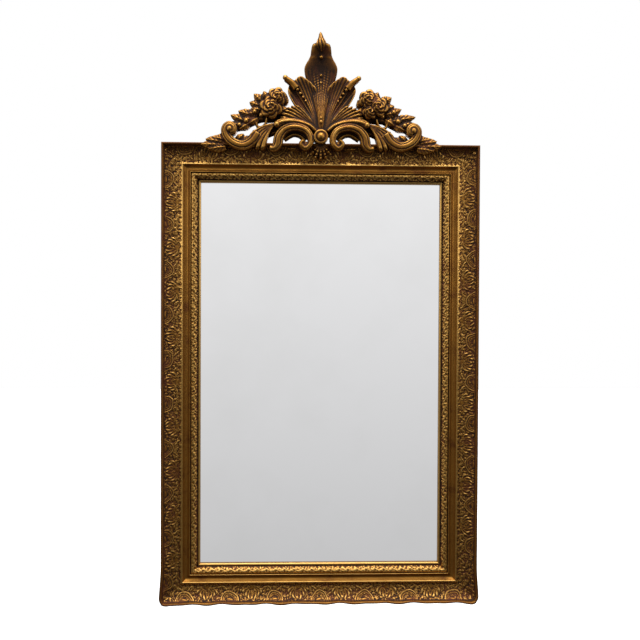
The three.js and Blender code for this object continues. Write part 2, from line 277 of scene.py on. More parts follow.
def pineMaterial(name, boards):
    look = pineLook
    material, tree, shader = newMaterial(name, Metallic=0)
    place = newNode(tree, "ShaderNodeTexCoord").outputs["Object"]
    grainWay = newNode(tree, "ShaderNodeMapping", Scale=(1, 1, look["grainRun"]))
    tree.links.new(place, grainWay.inputs["Vector"])
    rings = newNode(tree, "ShaderNodeTexWave", Scale=look["ringScale"], Distortion=look["ringStray"],
                    Detail=look["ringDetail"], bands_direction="X")
    tree.links.new(grainWay.outputs["Vector"], rings.inputs["Vector"])
    dirt = noiseNode(tree, place, look["dustScale"], 5.0, 0.6)
    wood = mixColour(tree, rings.outputs["Fac"], look["pale"], look["ring"])
    colour = mixColour(tree, ramp(tree, dirt, look["dusting"]), wood, look["dust"])
    if boards:
        split = newNode(tree, "ShaderNodeSeparateXYZ")
        tree.links.new(place, split.inputs["Vector"])
        across = mathNode(tree, "MULTIPLY", split.outputs["X"], 1 / (look["boardWidth"] * mm))
        share = mathNode(tree, "FRACT", across, 0)
        seam = mathNode(tree, "ABSOLUTE", mathNode(tree, "SUBTRACT", share, 0.5), 0)
        colour = mixColour(tree, ramp(tree, seam, look["seamEdge"]), colour, look["seam"])
    tree.links.new(colour, shader.inputs["Base Color"])
    tree.links.new(ramp(tree, dirt, look["roughness"]), shader.inputs["Roughness"])
    addRelief(tree, shader, look, rings.outputs["Fac"])
    return material


plateLook = {
    "silver": (0.925, 0.925, 0.935), "clouded": (0.885, 0.885, 0.890),
    "cloudScale": 3.2, "clouding": ((0.45, 0.0), (0.75, 1.0)),
}


def plateMaterial():
    look = plateLook
    material, tree, shader = newMaterial("silvered plate", Metallic=1, Roughness=0)
    place = newNode(tree, "ShaderNodeTexCoord").outputs["Object"]
    cloud = noiseNode(tree, place, look["cloudScale"], 4.0, 0.6)
    colour = mixColour(tree, ramp(tree, cloud, look["clouding"]), look["silver"], look["clouded"])
    tree.links.new(colour, shader.inputs["Base Color"])
    return material


giltGroup = makeGiltGroup()
railGilt = giltMaterial("rail gilt", giltGroup, giltLook["railTone"])
# the crest's gilt is the rails' gilt in painted shade
crestGilt = giltMaterial("crest gilt in painted shade", giltGroup, giltLook["crestToneAndShade"])
barePine = pineMaterial("bare pine", False)
boardPine = pineMaterial("board pine", True)
silver = plateMaterial()
print("finishes made")


# The moulding, measured across from the outer edge and out from the wall

moulding = {
    "width": 95.0, "rabbetWidth": 10.0, "rabbetDepth": 14.0,
    "beadTop": 58.0, "beadWidth": 6.0, "beadFoot": 54.0,
    "coveFoot": 33.0, "coveEnd": 42.0,
    "filletTop": 37.5, "filletStart": 50.0, "filletEnd": 51.8, "filletPull": 3.0,
    "hollowPull": 21.0, "hollowEnd": 70.0, "hollowTop": 37.5,
    "lipWidth": 0.9, "quirkStart": 1.4, "quirkFloor": 30.5,
    "bandStart": 73.0, "bandEnd": 88.0, "bandTop": 33.5, "bandPull": (3.5, 1.0),
    "sightTop": 22.0, "sightStart": 90.0, "sightDip": 2.0, "sightFall": 3.0, "sightPull": 0.5,
    "stepRun": 0.3,  # how far a steep step leans
    "frontStep": 1.45, "rearStep": 9.0, "alongStep": 1.5,
}
rabbetLine = moulding["rabbetDepth"] + 0.5  # the wood behind this line is bare


def arcPoints(centre, radii, start, stop, steps):
    turns = np.radians(np.linspace(start, stop, steps + 1))
    return np.column_stack([centre[0] + radii[0] * np.cos(turns), centre[1] + radii[1] * np.sin(turns)])


def bowPoints(start, pull, end, steps):  # a quadratic curve
    t = np.linspace(0, 1, steps + 1)[:, None]
    return (1 - t) ** 2 * np.array(start) + 2 * t * (1 - t) * np.array(pull) + t ** 2 * np.array(end)


def evenly(points, step):  # the same line in even steps
    lengths = np.concatenate([[0], np.cumsum(np.hypot(*np.diff(points, axis=0).T))])
    places = np.linspace(0, lengths[-1], int(lengths[-1] / step) + 1)
    return np.column_stack([np.interp(places, lengths, points[:, k]) for k in range(2)])


def coveHeight(across):
    m = moulding
    turn = np.clip((m["coveEnd"] - across) / (m["coveEnd"] - m["beadWidth"]), 0, 1)
    return m["coveFoot"] + (m["beadFoot"] - m["coveFoot"]) * (1 - np.sqrt(1 - turn * turn))


def mouldingLine():  # round the whole section, with how many of its points are on the front
    m = moulding
    beadMiddle = m["beadWidth"] / 2
    beadRise = m["beadTop"] - m["beadFoot"]
    coveRadii = (m["coveEnd"] - m["beadWidth"], m["beadFoot"] - m["coveFoot"])
    hollowMiddle = (m["filletEnd"] + m["hollowEnd"]) / 2
    bandPull = (m["bandEnd"] - m["bandPull"][0], m["bandTop"] + m["bandPull"][1])
    dip = m["sightTop"] - m["sightDip"]
    inner = m["width"] - m["rabbetWidth"]
    front = np.vstack([
        arcPoints((beadMiddle, m["beadFoot"]), (beadMiddle, beadRise), 180, 0, 12),
        arcPoints((m["coveEnd"], m["beadFoot"]), coveRadii, 180, 270, 60),
        bowPoints((m["coveEnd"], m["coveFoot"]), (m["filletStart"] - m["filletPull"], m["coveFoot"]),
                  (m["filletStart"], m["filletTop"]), 12),
        bowPoints((m["filletEnd"], m["filletTop"]), (hollowMiddle, m["hollowPull"]),
                  (m["hollowEnd"], m["hollowTop"]), 24),
        [(m["hollowEnd"] + m["lipWidth"], m["hollowTop"]),
         (m["hollowEnd"] + m["quirkStart"], m["quirkFloor"]), (m["bandStart"], m["quirkFloor"])],
        bowPoints((m["bandStart"] + m["stepRun"], m["bandTop"]), bandPull,
                  (m["bandEnd"], m["sightTop"]), 20),
        [(m["bandEnd"] + m["stepRun"], dip), (m["sightStart"] - m["stepRun"], dip)],
        bowPoints((m["sightStart"], m["sightTop"]), (m["width"] - m["sightPull"], m["sightTop"]),
                  (m["width"], m["sightTop"] - m["sightFall"]), 10),
        [(m["width"], m["rabbetDepth"])],
    ])
    rear = np.array([(m["width"], m["rabbetDepth"]), (inner, m["rabbetDepth"]), (inner, 0),
                     (0, 0), (0, m["beadFoot"])])
    frontLine = evenly(front, m["frontStep"])
    return np.vstack([frontLine, evenly(rear, m["rearStep"])[1:]]), len(frontLine)


# The carving on the rails

carving = {
    "eyeHalf": 22.0, "eyeReach": 25.0,
    "eyeRims": ((1.0, 2.2, 0.075), (0.80, 1.9, 0.060), (0.63, 1.6, 0.050)),  # place, rise and half width
    "lensShare": 0.50, "lensRise": 1.8, "lensReed": 5.0,
    "palmetteFoot": 38.0, "palmetteReach": 30.0, "palmetteLeaves": 9, "palmetteSpread": 100.0,
    "palmetteRise": 2.4, "heartRise": 1.0, "heartShare": 0.24,
    "sprigFloret": (37.0, 6.0),  # place across, and size
    "sprigLeaves": ((10, 33, 55, 6.5, 1.7, 2.4),  # along, across, turn, length, half width and rise
                    (16, 38, 35, 6.0, 1.5, 2.2),
                    (9, 44, -25, 5.0, 1.5, 2.0)),
    "palmetteEnds": 8, "rowEnds": (25, 32),  # past its end eyes the row fades
    "waver": 1.3, "waverRun": 33.0,
    "curlCell": 8.5, "curlRise": 2.3, "stippleCell": 4.6, "stippleRise": 1.6, "cleared": 0.8,
    "bandPitch": 23.0, "bandRise": 2.1, "bandStem": (0.75, 2.4, 1.1),  # rise, swing and half width
    "bandLeaves": ((6.5, -2.4, 24, 4.6, 1.3, 1.0), (10, 3.2, -34, 3.6, 1.1, 0.9)),
    "bandFloret": (0.5, 4.0), "bandCurls": (0.8, 6.5), "bandCurlShift": 700,
}


def floret(along, across, size):
    radius = np.hypot(along, across)
    lobes = 0.45 + 0.55 * np.cos(5 * np.arctan2(across, along))
    return 2.2 * lobes * swell(radius - 0.62 * size, 0.34 * size) + 2.2 * swell(radius, 0.28 * size)


def stroke(along, across, turn, length, half):  # a small leaf laid at an angle
    lean = math.radians(turn)
    run = along * math.cos(lean) + across * math.sin(lean)
    side = across * math.cos(lean) - along * math.sin(lean)
    return swell(run, length) * swell(side, half)


def eyeRelief(along, across):  # a half oval of rims round a smooth lens, at the outer edge
    c = carving
    spread = np.hypot(along / c["eyeHalf"], (across - moulding["beadWidth"] + 3) / c["eyeReach"])
    shapes = [rise * swell(spread - place, half) for place, rise, half in c["eyeRims"]]
    lens = np.sqrt(np.clip(1 - (spread / c["lensShare"]) ** 2, 0, None))
    shapes.append(lens * (c["lensRise"] + 0.5 * np.cos(2 * np.pi * across / c["lensReed"])))
    return np.maximum.reduce(shapes)


def palmetteRelief(along, across):  # thin leaves that spread from a heart towards the outer edge
    c = carving
    count = c["palmetteLeaves"]
    rise = c["palmetteFoot"] - across
    reach = np.hypot(along, rise) / c["palmetteReach"]
    turn = np.arctan2(along, rise) + 0.6 * np.sign(along) * reach ** 2  # the tips curl away
    lean = np.clip(turn / np.radians(c["palmetteSpread"]), -1, 1) * count / 2
    leaves = np.abs(np.cos(np.pi * lean)) ** 1.5 * (np.abs(lean) < count / 2)
    ends = ease(reach, 0.22, 0.36) * (1 - ease(reach, 0.90, 1.0))
    tips = 0.65 + 0.5 * swell(reach - 0.85, 0.12)
    heart = np.sqrt(np.clip(1 - (reach / c["heartShare"]) ** 2, 0, None))
    return np.maximum(c["palmetteRise"] * leaves * ends * tips, c["heartRise"] * heart)


def sprigRelief(along, across):  # leaves that spring from over an eye
    floretPlace, floretSize = carving["sprigFloret"]
    shapes = [floret(along, across - floretPlace, floretSize)]
    for side in (-1, 1):
        for reach, up, turn, length, half, rise in carving["sprigLeaves"]:
            shapes.append(rise * stroke(along - side * reach, across - up, side * turn, length, half))
    return np.maximum.reduce(shapes)


def nearCells(along, across, cell):  # loose places, one to a cell, as seen from each point
    cellX, cellY = np.floor(along / cell), np.floor(across / cell)
    for stepX in (-1, 0, 1):
        for stepY in (-1, 0, 1):
            x, y = cellX + stepX, cellY + stepY
            runX = along - (x + 0.2 + 0.6 * scatter(x, y, 1)) * cell
            runY = across - (y + 0.2 + 0.6 * scatter(x, y, 2)) * cell
            yield runX, runY, 2 * np.pi * scatter(x, y, 3)


def curls(along, across, cell):  # crescents with a seed in each, turned all ways
    raised = np.zeros_like(along)
    for runX, runY, turn in nearCells(along, across, cell):
        reach = np.hypot(runX, runY)
        lit = 0.5 + 0.5 * np.cos(np.arctan2(runY, runX) - turn)
        crescent = lit * swell(reach - 0.36 * cell, 0.13 * cell)
        raised = np.maximum(raised, np.maximum(crescent, 0.85 * swell(reach, 0.15 * cell)))
    return raised


def stipple(along, across, cell):  # loose dots
    dots = [swell(np.hypot(runX, runY), 0.34 * cell) for runX, runY, _ in nearCells(along, across, cell)]
    return np.maximum.reduce(dots)


def bandRelief(along, across):  # the narrow band of running leaves by the plate
    c, m = carving, moulding
    pitch = c["bandPitch"]
    run = np.mod(along, pitch) - pitch / 2
    side = across - (m["bandStart"] + m["bandEnd"]) / 2
    stemRise, swing, stemHalf = c["bandStem"]
    floretRise, floretSize = c["bandFloret"]
    curlRise, curlCell = c["bandCurls"]
    shapes = [stemRise * swell(side - swing * np.sin(2 * np.pi * along / pitch), stemHalf),
              floretRise * floret(run, side + 1, floretSize)]
    for way in (-1, 1):
        for reach, up, turn, length, half, rise in c["bandLeaves"]:
            shapes.append(rise * stroke(run - way * reach, side - way * up, turn, length, half))
    shapes.append(curlRise * curls(along + c["bandCurlShift"], across, curlCell))
    inside = ease(across, m["bandStart"] + 0.5, m["bandStart"] + 2)
    inside = inside * (1 - ease(across, m["bandEnd"] - 1.5, m["bandEnd"]))
    return c["bandRise"] * np.maximum.reduce(shapes) * inside


def railRelief(along, across, firstEye, pitch, eyes):
    c, m = carving, moulding
    outline = ease(across, m["beadWidth"], m["beadWidth"] + 3)
    outline = outline * (1 - ease(across, m["filletStart"] - 2.5, m["filletStart"]))
    band = bandRelief(along, across)
    waver = 2 * np.pi / c["waverRun"]  # the carver's hand strays a little
    along, across = (along + c["waver"] * np.sin(waver * (across + 0.37 * along)),
                     across + c["waver"] * np.sin(waver * (0.83 * along - 0.4 * across)))
    eyeRun = np.mod(along - firstEye + pitch / 2, pitch) - pitch / 2
    palmetteRun = np.mod(along - firstEye, pitch) - pitch / 2
    lastEye = firstEye + (eyes - 1) * pitch
    near, far = c["rowEnds"]
    inRow = ease(along, firstEye - far, firstEye - near)
    inRow = inRow * (1 - ease(along, lastEye + near, lastEye + far))
    betweenEyes = ease(along, firstEye, firstEye + c["palmetteEnds"])
    betweenEyes = betweenEyes * (1 - ease(along, lastEye - c["palmetteEnds"], lastEye))
    motifs = np.maximum.reduce([
        eyeRelief(eyeRun, across) * inRow,
        palmetteRelief(palmetteRun, across) * betweenEyes,
        sprigRelief(eyeRun, across) * inRow,
    ])
    ground = np.maximum(c["curlRise"] * curls(along, across, c["curlCell"]),
                        c["stippleRise"] * stipple(along, across, c["stippleCell"]))
    ground = ground * (1 - c["cleared"] * ease(motifs, 0.3, 1.6))  # lower where a motif lies
    return np.maximum(motifs, ground) * outline + band


def smear(values, width, axis):  # a soft blur along one way of a grid
    count = values.shape[axis]
    keep = np.exp(-2 * (np.pi * np.fft.rfftfreq(count) * width) ** 2)
    shape = [1] * values.ndim
    shape[axis] = len(keep)
    return np.fft.irfft(np.fft.rfft(values, axis=axis) * keep.reshape(shape), count, axis=axis)


# The rails

corners = {
    "round": 19.0, "flareOut": 5.0, "flareDown": 2.5, "flareRun": 95.0, "flareIn": 44.0,
    "wave": 1.3, "waveRun": 97.0, "waveIn": 14.0,
}
rails = {
    "top_rail": {
        "corner": (frameLeft, frameTop), "along": (1, 0), "length": frameWidth,
        "firstEye": 58.0, "pitch": 114.0, "eyes": 7, "soft": ()},
    "right_rail": {
        "corner": (frameRight, frameTop), "along": (0, -1), "length": frameHeight,
        "firstEye": 78.0, "pitch": 104.5, "eyes": 10, "soft": ("end",)},
    "bottom_rail": {
        "corner": (frameRight, frameBottom), "along": (-1, 0), "length": frameWidth,
        "firstEye": 58.0, "pitch": 114.0, "eyes": 7, "soft": ("start", "end")},
    "left_rail": {
        "corner": (frameLeft, frameBottom), "along": (0, 1), "length": frameHeight,
        "firstEye": 53.0, "pitch": 113.0, "eyes": 10, "soft": ("start",)},
}
railTone = {  # how aged the gilding looks, with painted shade and painted highlights, from 0 to 1, with places across the moulding
    "blurs": ((2.0, 0.55), (5.0, 0.16)),  # width and weight
    "base": 0.46, "rear": 0.85,
    # painted shade on the steep outer half of the cove
    "cove": 0.05, "coveEnds": (16, 34),
    "rubbedAndLit": ((0.17, 42, 9), (0.10, 51, 2)),  # painted highlights on the flat of the cove and on the fillet: amount, place and half width
    # painted shade on the band, and a painted highlight on the edge by the sight
    "band": 0.36, "bandEnds": (71, 74), "sight": 0.20, "sightEnds": (88, 90),
    "plain": 0.44, "plainStart": (51.5, 53), "plainEnd": (70, 71.5),
    "edge": 0.66, "edgeEnds": (4, 8),
}


def softCorner(side, up):  # a lower corner, by its distance from the side edge and from the bottom edge
    c = corners
    run, near = c["flareRun"], c["flareIn"]
    flaredSide = side - c["flareOut"] * (1 - ease(up, 0, run)) * (1 - ease(side, 0, near))
    flaredUp = up - c["flareDown"] * (1 - ease(side, 0, run)) * (1 - ease(up, 0, near))
    inX, inZ = c["round"] - side, c["round"] - up
    square = np.maximum(inX, inZ)
    rounding = np.where((inX > 0) & (inZ > 0), square / np.maximum(np.hypot(inX, inZ), 1e-6), 1)
    return flaredSide + inX * (1 - rounding), flaredUp + inZ * (1 - rounding)


def bendEnd(rail, along, across, atEnd):
    fromEnd = rail["length"] - along if atEnd else along
    if rail["along"][0]:  # the bottom rail runs sideways
        fromEnd, across = softCorner(fromEnd, across)
    else:
        across, fromEnd = softCorner(across, fromEnd)
    return (rail["length"] - fromEnd if atEnd else fromEnd), across


def agedAndShadedAcross(across, hollow):  # the hollows, with the painted shade and painted highlights that each line of the moulding adds
    t = railTone
    # painted shade on the steep outer half of the cove
    zones = t["cove"] * (1 - ease(across, *t["coveEnds"]))
    # paler lines: painted highlights on the flat of the cove and on the fillet
    for amount, place, half in t["rubbedAndLit"]:
        zones = zones - amount * swell(across - place, half)
    # painted shade on the band, and a painted highlight by the sight
    inner = t["band"] * ease(across, *t["bandEnds"]) - t["sight"] * ease(across, *t["sightEnds"])
    plain = ease(across, *t["plainStart"]) * (1 - ease(across, *t["plainEnd"]))  # evenly toned
    agedAndShaded = np.clip(t["base"] + hollow + (zones + inner), 0, 1) * (1 - plain) + t["plain"] * plain
    return np.maximum(agedAndShaded, t["edge"] * (1 - ease(across, *t["edgeEnds"])))  # the outer edge is dull


def makeRail(name, rail):
    line, frontCount = mouldingLine()
    length = rail["length"]
    acrossCount, alongCount = len(line) - 1, int(length / moulding["alongStep"])
    bm = bmesh.new()
    bmesh.ops.create_grid(bm, x_segments=alongCount, y_segments=acrossCount, size=0.5)
    mesh = bpy.data.meshes.new(name + "_carved")
    bm.to_mesh(mesh)
    spots = readSpots(mesh)
    column = np.rint((spots[:, 1] + 0.5) * acrossCount).astype(int)
    row = np.rint((spots[:, 0] + 0.5) * alongCount).astype(int)
    share = row / alongCount

    # the bare section and which way its surface faces, then the carving on it
    slope = np.gradient(line, axis=0)
    facing = np.column_stack([-slope[:, 1], slope[:, 0]]) / np.hypot(*slope.T)[:, None]
    across, out = line[column].T
    faceAcross, faceOut = facing[column].T
    along = across + (length - 2 * across) * share
    raised = railRelief(along, across, rail["firstEye"], rail["pitch"], rail["eyes"])
    raised = np.where(column < frontCount - 4, raised, 0)
    across, out = across + faceAcross * raised, out + faceOut * raised
    along = across + (length - 2 * across) * share

    # hollows: how far the surface lies under its own blurred copy
    grid = np.zeros((2, acrossCount + 1, alongCount + 1))
    grid[0, column, row], grid[1, column, row] = across, out
    hollow = np.zeros(len(spots))
    for width, weight in railTone["blurs"]:
        blurred = smear(smear(grid, width, 1), width, 2)
        lift = (blurred - grid)[:, column, row]
        hollow += weight * (lift[0] * faceAcross + lift[1] * faceOut)
    agedAndShaded = agedAndShadedAcross(across, hollow)
    agedAndShaded[column >= frontCount - 2] = railTone["rear"]

    if len(rail["soft"]) == 2:  # the bottom edge is uneven
        turn = 2 * np.pi * along / corners["waveRun"]
        wave = corners["wave"] * (np.sin(turn + 1) + 0.7 * np.sin(1.6 * turn))
        across = across - wave * (1 - ease(across, 0, corners["waveIn"]))
    for end in rail["soft"]:
        along, across = bendEnd(rail, along, across, end == "end")
    (cornerX, cornerZ), (alongX, alongZ) = rail["corner"], rail["along"]
    x = cornerX + along * alongX + across * alongZ  # inward is a quarter turn from along
    up = cornerZ + along * alongZ - across * alongX
    writeSpots(mesh, np.column_stack([x, -out, up]) * mm)
    writeMask(mesh, "hollow", agedAndShaded)

    # close the section's seam and the two mitres
    bm.clear()
    bm.from_mesh(mesh)
    closeUp(bm, 0.02 * mm)
    bmesh.ops.recalc_face_normals(bm, faces=bm.faces)
    for face in bm.faces:
        face.material_index = 1 if face.calc_center_median().y > -rabbetLine * mm else 0
    bm.to_mesh(mesh)
    bm.free()
    return mesh


for railName, rail in rails.items():
    pieceName = railName.replace("_rail", "_moulding")
    addPiece(pieceName, makeRail(railName, rail), (railGilt, barePine), railName)


# The crest, measured from the middle of the frame's top edge and out from the wall

crest = {
    "back": 36.0, "seat": 1.0,  # how far the carving is let into the cove
    "middleShift": -2.5, "voxel": 1.3, "mostFaces": 190000,
    "fanRoot": 4.0, "ribRise": 4.6, "tipFall": 7.0, "creaseRise": 0.8, "fanSteps": 44, "ribSteps": 12,
}


def backAt(up):  # behind the carving: flat above the rail, on the cove below its edge
    return crest["back"] if up > 0 else float(coveHeight(-up)) - crest["seat"]


def addTo(whole, part):  # adds a finished small shape to the carving
    mesh = newMesh("part", part)
    whole.from_mesh(mesh)
    bpy.data.meshes.remove(mesh)


def carved(whole, alongSteps, acrossSteps, place):  # a bent sheet with walls down to the back
    bm = bmesh.new()
    front = bmesh.ops.create_grid(bm, x_segments=alongSteps, y_segments=acrossSteps, size=0.5)["verts"]
    made = bmesh.ops.extrude_face_region(bm, geom=bm.faces[:], use_keep_orig=True)["geom"]
    rear = [vert for vert in made if isinstance(vert, bmesh.types.BMVert)]
    for verts, isFront in ((front, True), (rear, False)):
        for vert in verts:
            x, out, up = place(vert.co.x + 0.5, 2 * vert.co.y)
            back = backAt(up)
            vert.co = (x, -max(out, back + 2) if isFront else -back, up)
    addTo(whole, bm)


def bump(value, half):  # swell for one number
    return math.exp(-((value / half) ** 2))


def fanSpot(foot, lean, radius, out):  # a place by its lean from straight up
    return foot[0] + radius * math.sin(lean), out, foot[1] + radius * math.cos(lean)


def shellFan(bm, foot, start, stop, reach, ribs, face, bend=0.0, scallop=0.05, rise=None, curl=0.0):
    ribRise = crest["ribRise"] if rise is None else rise

    def place(along, across):
        share = (across + 1) / 2
        lean = math.radians(start + (stop - start) * share + bend * (1 - along))
        ridge = abs(math.sin(share * ribs * math.pi))
        edge = reach(share) * (1 - scallop * (1 - ridge) ** 2)
        radius = crest["fanRoot"] + (edge - crest["fanRoot"]) * along
        out = face(along) + ribRise * ridge ** 0.7 * min(1, 0.3 + along) - crest["tipFall"] * along ** 10
        out += crest["creaseRise"] * bump(ridge - 0.72, 0.12) + curl * ridge * bump(along - 0.92, 0.06)
        return fanSpot(foot, lean, radius, out)

    carved(bm, crest["fanSteps"], ribs * crest["ribSteps"], place)


upperFanLook = {
    "foot": (6.0, 25.0), "start": 4.0, "stop": 41.5, "bend": -6.0, "ribs": 10, "ribRise": 2.8,
    "hollowFrom": 0.52, "hollowDepth": 5.0, "hollowReed": 2.0, "rimRise": 3.0, "tipFall": 5.0,
    "pearls": 6, "firstPearl": (27.0, 88.0), "lastPearl": (61.0, 135.0),
}


def upperFan(bm):  # ribs beside the middle leaf, then a deep hollow with a row of pearls and a rim
    look = upperFanLook
    reach = through((0, 112), (0.24, 138), (0.39, 151), (0.55, 147),
                    (0.7, 145), (0.8, 140), (0.91, 125), (1, 93))
    face = through((0, 61), (0.2, 58), (0.4, 53), (0.6, 48), (0.85, 50), (1, 57))

    def place(along, across):
        share = (across + 1) / 2
        turn = look["start"] + (look["stop"] - look["start"]) * share + look["bend"] * (1 - along)
        lean = math.radians(turn)
        radius = crest["fanRoot"] + (reach(share) - crest["fanRoot"]) * along
        inHollow = max(0, (share - look["hollowFrom"]) / (1 - look["hollowFrom"]))
        opened = float(ease(inHollow, 0, 0.2) * ease(along, 0.25, 0.5))
        ridge = abs(math.sin(share * look["ribs"] * math.pi))
        ribs = look["ribRise"] * ridge ** 0.7 * min(1, 0.5 + along)
        arch = math.sin(math.pi * inHollow)
        dish = look["rimRise"] * bump(inHollow - 0.9, 0.16) - look["hollowDepth"] * arch
        dish += look["hollowReed"] * math.cos(6 * math.pi * inHollow) * arch
        out = face(along) + ribs * (1 - opened) + dish * opened - look["tipFall"] * along ** 12
        return fanSpot(look["foot"], lean, radius, out)

    carved(bm, 60, 84, place)
    first, last = Vector(look["firstPearl"]), Vector(look["lastPearl"])
    for k in range(look["pearls"]):
        share = k / (look["pearls"] - 1)
        pearl(bm, first.lerp(last, share), face(0.5 + 0.35 * share) + 1, 2.5 + share)


hornRoute = [(64, 138), (74, 150), (83, 157), (92, 163)]


def horn(bm):  # the rolled tip of the upper fan
    scroll(bm, hornRoute, 30, lambda t: 18 - 7 * t, lambda t: 50 + 4 * t, rounded)
    pearl(bm, hornRoute[-1], 55, 6.5)


def routeAt(points, t):  # a smooth route through points: place and heading
    spot = t * (len(points) - 1)
    k = min(int(spot), len(points) - 2)
    u = spot - k
    ends = [Vector(points[min(max(k + step, 0), len(points) - 1)]) for step in (-1, 0, 1, 2)]
    pullIn, pullOut = (ends[2] - ends[0]) / 2, (ends[3] - ends[1]) / 2
    cubic = 2 * ends[1] - 2 * ends[2] + pullIn + pullOut
    square = 3 * (ends[2] - ends[1]) - 2 * pullIn - pullOut
    place = ends[1] + pullIn * u + square * u * u + cubic * u ** 3
    heading = pullIn + 2 * square * u + 3 * cubic * u * u
    return place, heading.normalized()


def reeded(across):  # three reeds, the middle one broad
    side = abs(across)
    return 7 * (1 - side ** 2.6) - 3.2 * bump(side - 0.52, 0.09) + 1.2 * bump(side - 0.78, 0.12)


def rounded(across):
    return 7 * math.sqrt(max(0, 1 - across * across))


def hollowed(across):  # a shallow channel between two lips
    return 3.5 * math.sin(math.pi * abs(across)) - 3.0 * abs(across) ** 4


def scroll(bm, points, steps, width, face, section=reeded):
    def place(along, across):
        spot, heading = routeAt(points, along)
        side = across * width(along) / 2
        return spot.x - heading.y * side, face(along) + section(across), spot.y + heading.x * side

    carved(bm, steps, 18, place)


def leaf(bm, root, tip, width, face, teeth=4):
    run = Vector(tip) - Vector(root)
    normal = Vector((-run.y, run.x)).normalized()

    def place(along, across):
        notch = 1 - 0.2 * (1 - abs(math.sin(teeth * math.pi * along)) ** 0.6) * min(1, 3 * along)
        half = (width / 2 * math.sin(math.pi * (0.18 + 0.82 * along)) + 0.8) * notch
        out = face + 6 * math.sin(math.pi * along) + 3.5 * along ** 3 - 3.4 * abs(across) ** 1.6
        veins = math.cos(2 * math.pi * (5 * along - 1.3 * abs(across)))
        out += 1.8 * bump(across, 0.13) + 0.7 * veins * min(1, 4 * along)
        spot = Vector(root) + run * along + normal * across * half
        return spot.x, out, spot.y

    carved(bm, 22, 12, place)


def petal(bm, centre, turn, spread, inner, outer, base, lift):
    def place(along, across):
        lean = math.radians(turn + spread * across)
        rim = outer * (1 - 0.16 * across * across + 0.05 * math.cos(3 * across))
        radius = inner + (rim - inner) * along
        rolled = 3.25 * max(0, along - 0.82) / 0.18
        out = base + lift * math.sin(1.9 * along) + 2.4 * across - rolled
        return fanSpot(centre, lean, radius, out)

    carved(bm, 12, 10, place)


roseRings = (  # petals, first turn, spread, inner and outer share of the size, place out, lift
    (6, 0, 37, 0.20, 1.00, 1, 7),
    (5, 25, 43, 0.12, 0.68, 6, 7),
    (3, 50, 66, 0.04, 0.40, 12, 5),
)


def rose(bm, centre, size, face, turn):
    for count, first, spread, inner, outer, over, lift in roseRings:
        for k in range(count):
            lean = turn + first + 360 / count * k
            petal(bm, centre, lean, spread, inner * size, outer * size, face + over, lift)
    pearl(bm, centre, face + 13, 0.13 * size)


def pearl(whole, centre, out, radius):
    bm = bmesh.new()
    place = Matrix.Translation((centre[0], -out, centre[1]))
    bmesh.ops.create_uvsphere(bm, u_segments=14, v_segments=9, radius=radius, matrix=place)
    addTo(whole, bm)


middleLook = {
    "foot": 30.0, "height": 220.0,
    "pearls": ((213, 4.2), (170, 3.2), (152, 2.8), (62, 2.6), (52, 3.6)),  # height and size
}


def middleLeaf(bm):  # leans back over its lower half, then comes forward to a rolled lip
    foot, height = middleLook["foot"], middleLook["height"]
    half = through((0, 10), (0.2, 12.5), (0.29, 16), (0.38, 20), (0.465, 25), (0.545, 33),
                   (0.61, 37.5), (0.68, 41), (0.736, 41), (0.777, 37), (0.823, 30.5), (0.86, 26.8),
                   (0.91, 25.3), (0.96, 22.5), (0.985, 19), (1, 13))
    face = through((0, 60), (0.15, 63), (0.3, 58), (0.45, 51), (0.58, 49), (0.7, 52),
                   (0.8, 57), (0.87, 62), (0.93, 69), (0.965, 72), (1, 62))

    def place(along, across):
        side = abs(across)
        lower = 1 - float(ease(along, 0.5, 0.75))
        flutes = (2.6 * (1 - side * side) + 0.9 * math.cos(9 * math.pi * side)) * lower
        rim = 2.0 * bump(side - 0.88, 0.09) * float(ease(along, 0.1, 0.3) * (1 - ease(along, 0.5, 0.72)))
        barbs = math.sin(2 * math.pi * (34 * along + 2.4 * side))
        barbs *= 0.8 * bump(along - 0.55, 0.10) * bump(side - 0.30, 0.22)
        collar = 0.8 * bump(along - 0.835, 0.016) * (0.6 + 0.4 * math.cos(9 * across))
        teeth = 1 + 0.05 * math.cos(2.5 * math.pi * across) * float(ease(along, 0.93, 1))
        out = face(along) + flutes + rim + barbs + collar - 7 * side ** 4
        return across * half(along) * teeth, out, foot + height * along

    carved(bm, 150, 56, place)
    for up, size in middleLook["pearls"]:
        pearl(bm, (0, up), face((up - foot) / height) + 2.5, size)


budLook = {"foot": 226, "height": 51, "lean": 2}


def topBud(bm):
    look = budLook
    half = through((0, 4), (0.14, 9.5), (0.3, 13), (0.45, 11.5),
                   (0.6, 8), (0.8, 5), (0.92, 3.5), (1, 0.6))
    face = through((0, 66), (0.3, 77), (0.5, 76), (0.8, 66), (1, 60))

    def place(along, across):
        folds = 1.6 * math.cos(2 * math.pi * (1.4 * across + along))
        x = across * half(along) - look["lean"] * along * along
        return x, face(along) + folds - 5 * across * across, look["foot"] + look["height"] * along

    carved(bm, 34, 20, place)


bossLook = {"up": 15.0, "ring": 18.0, "ringTop": 70.0, "button": 11.5, "buttonTop": 77.0}


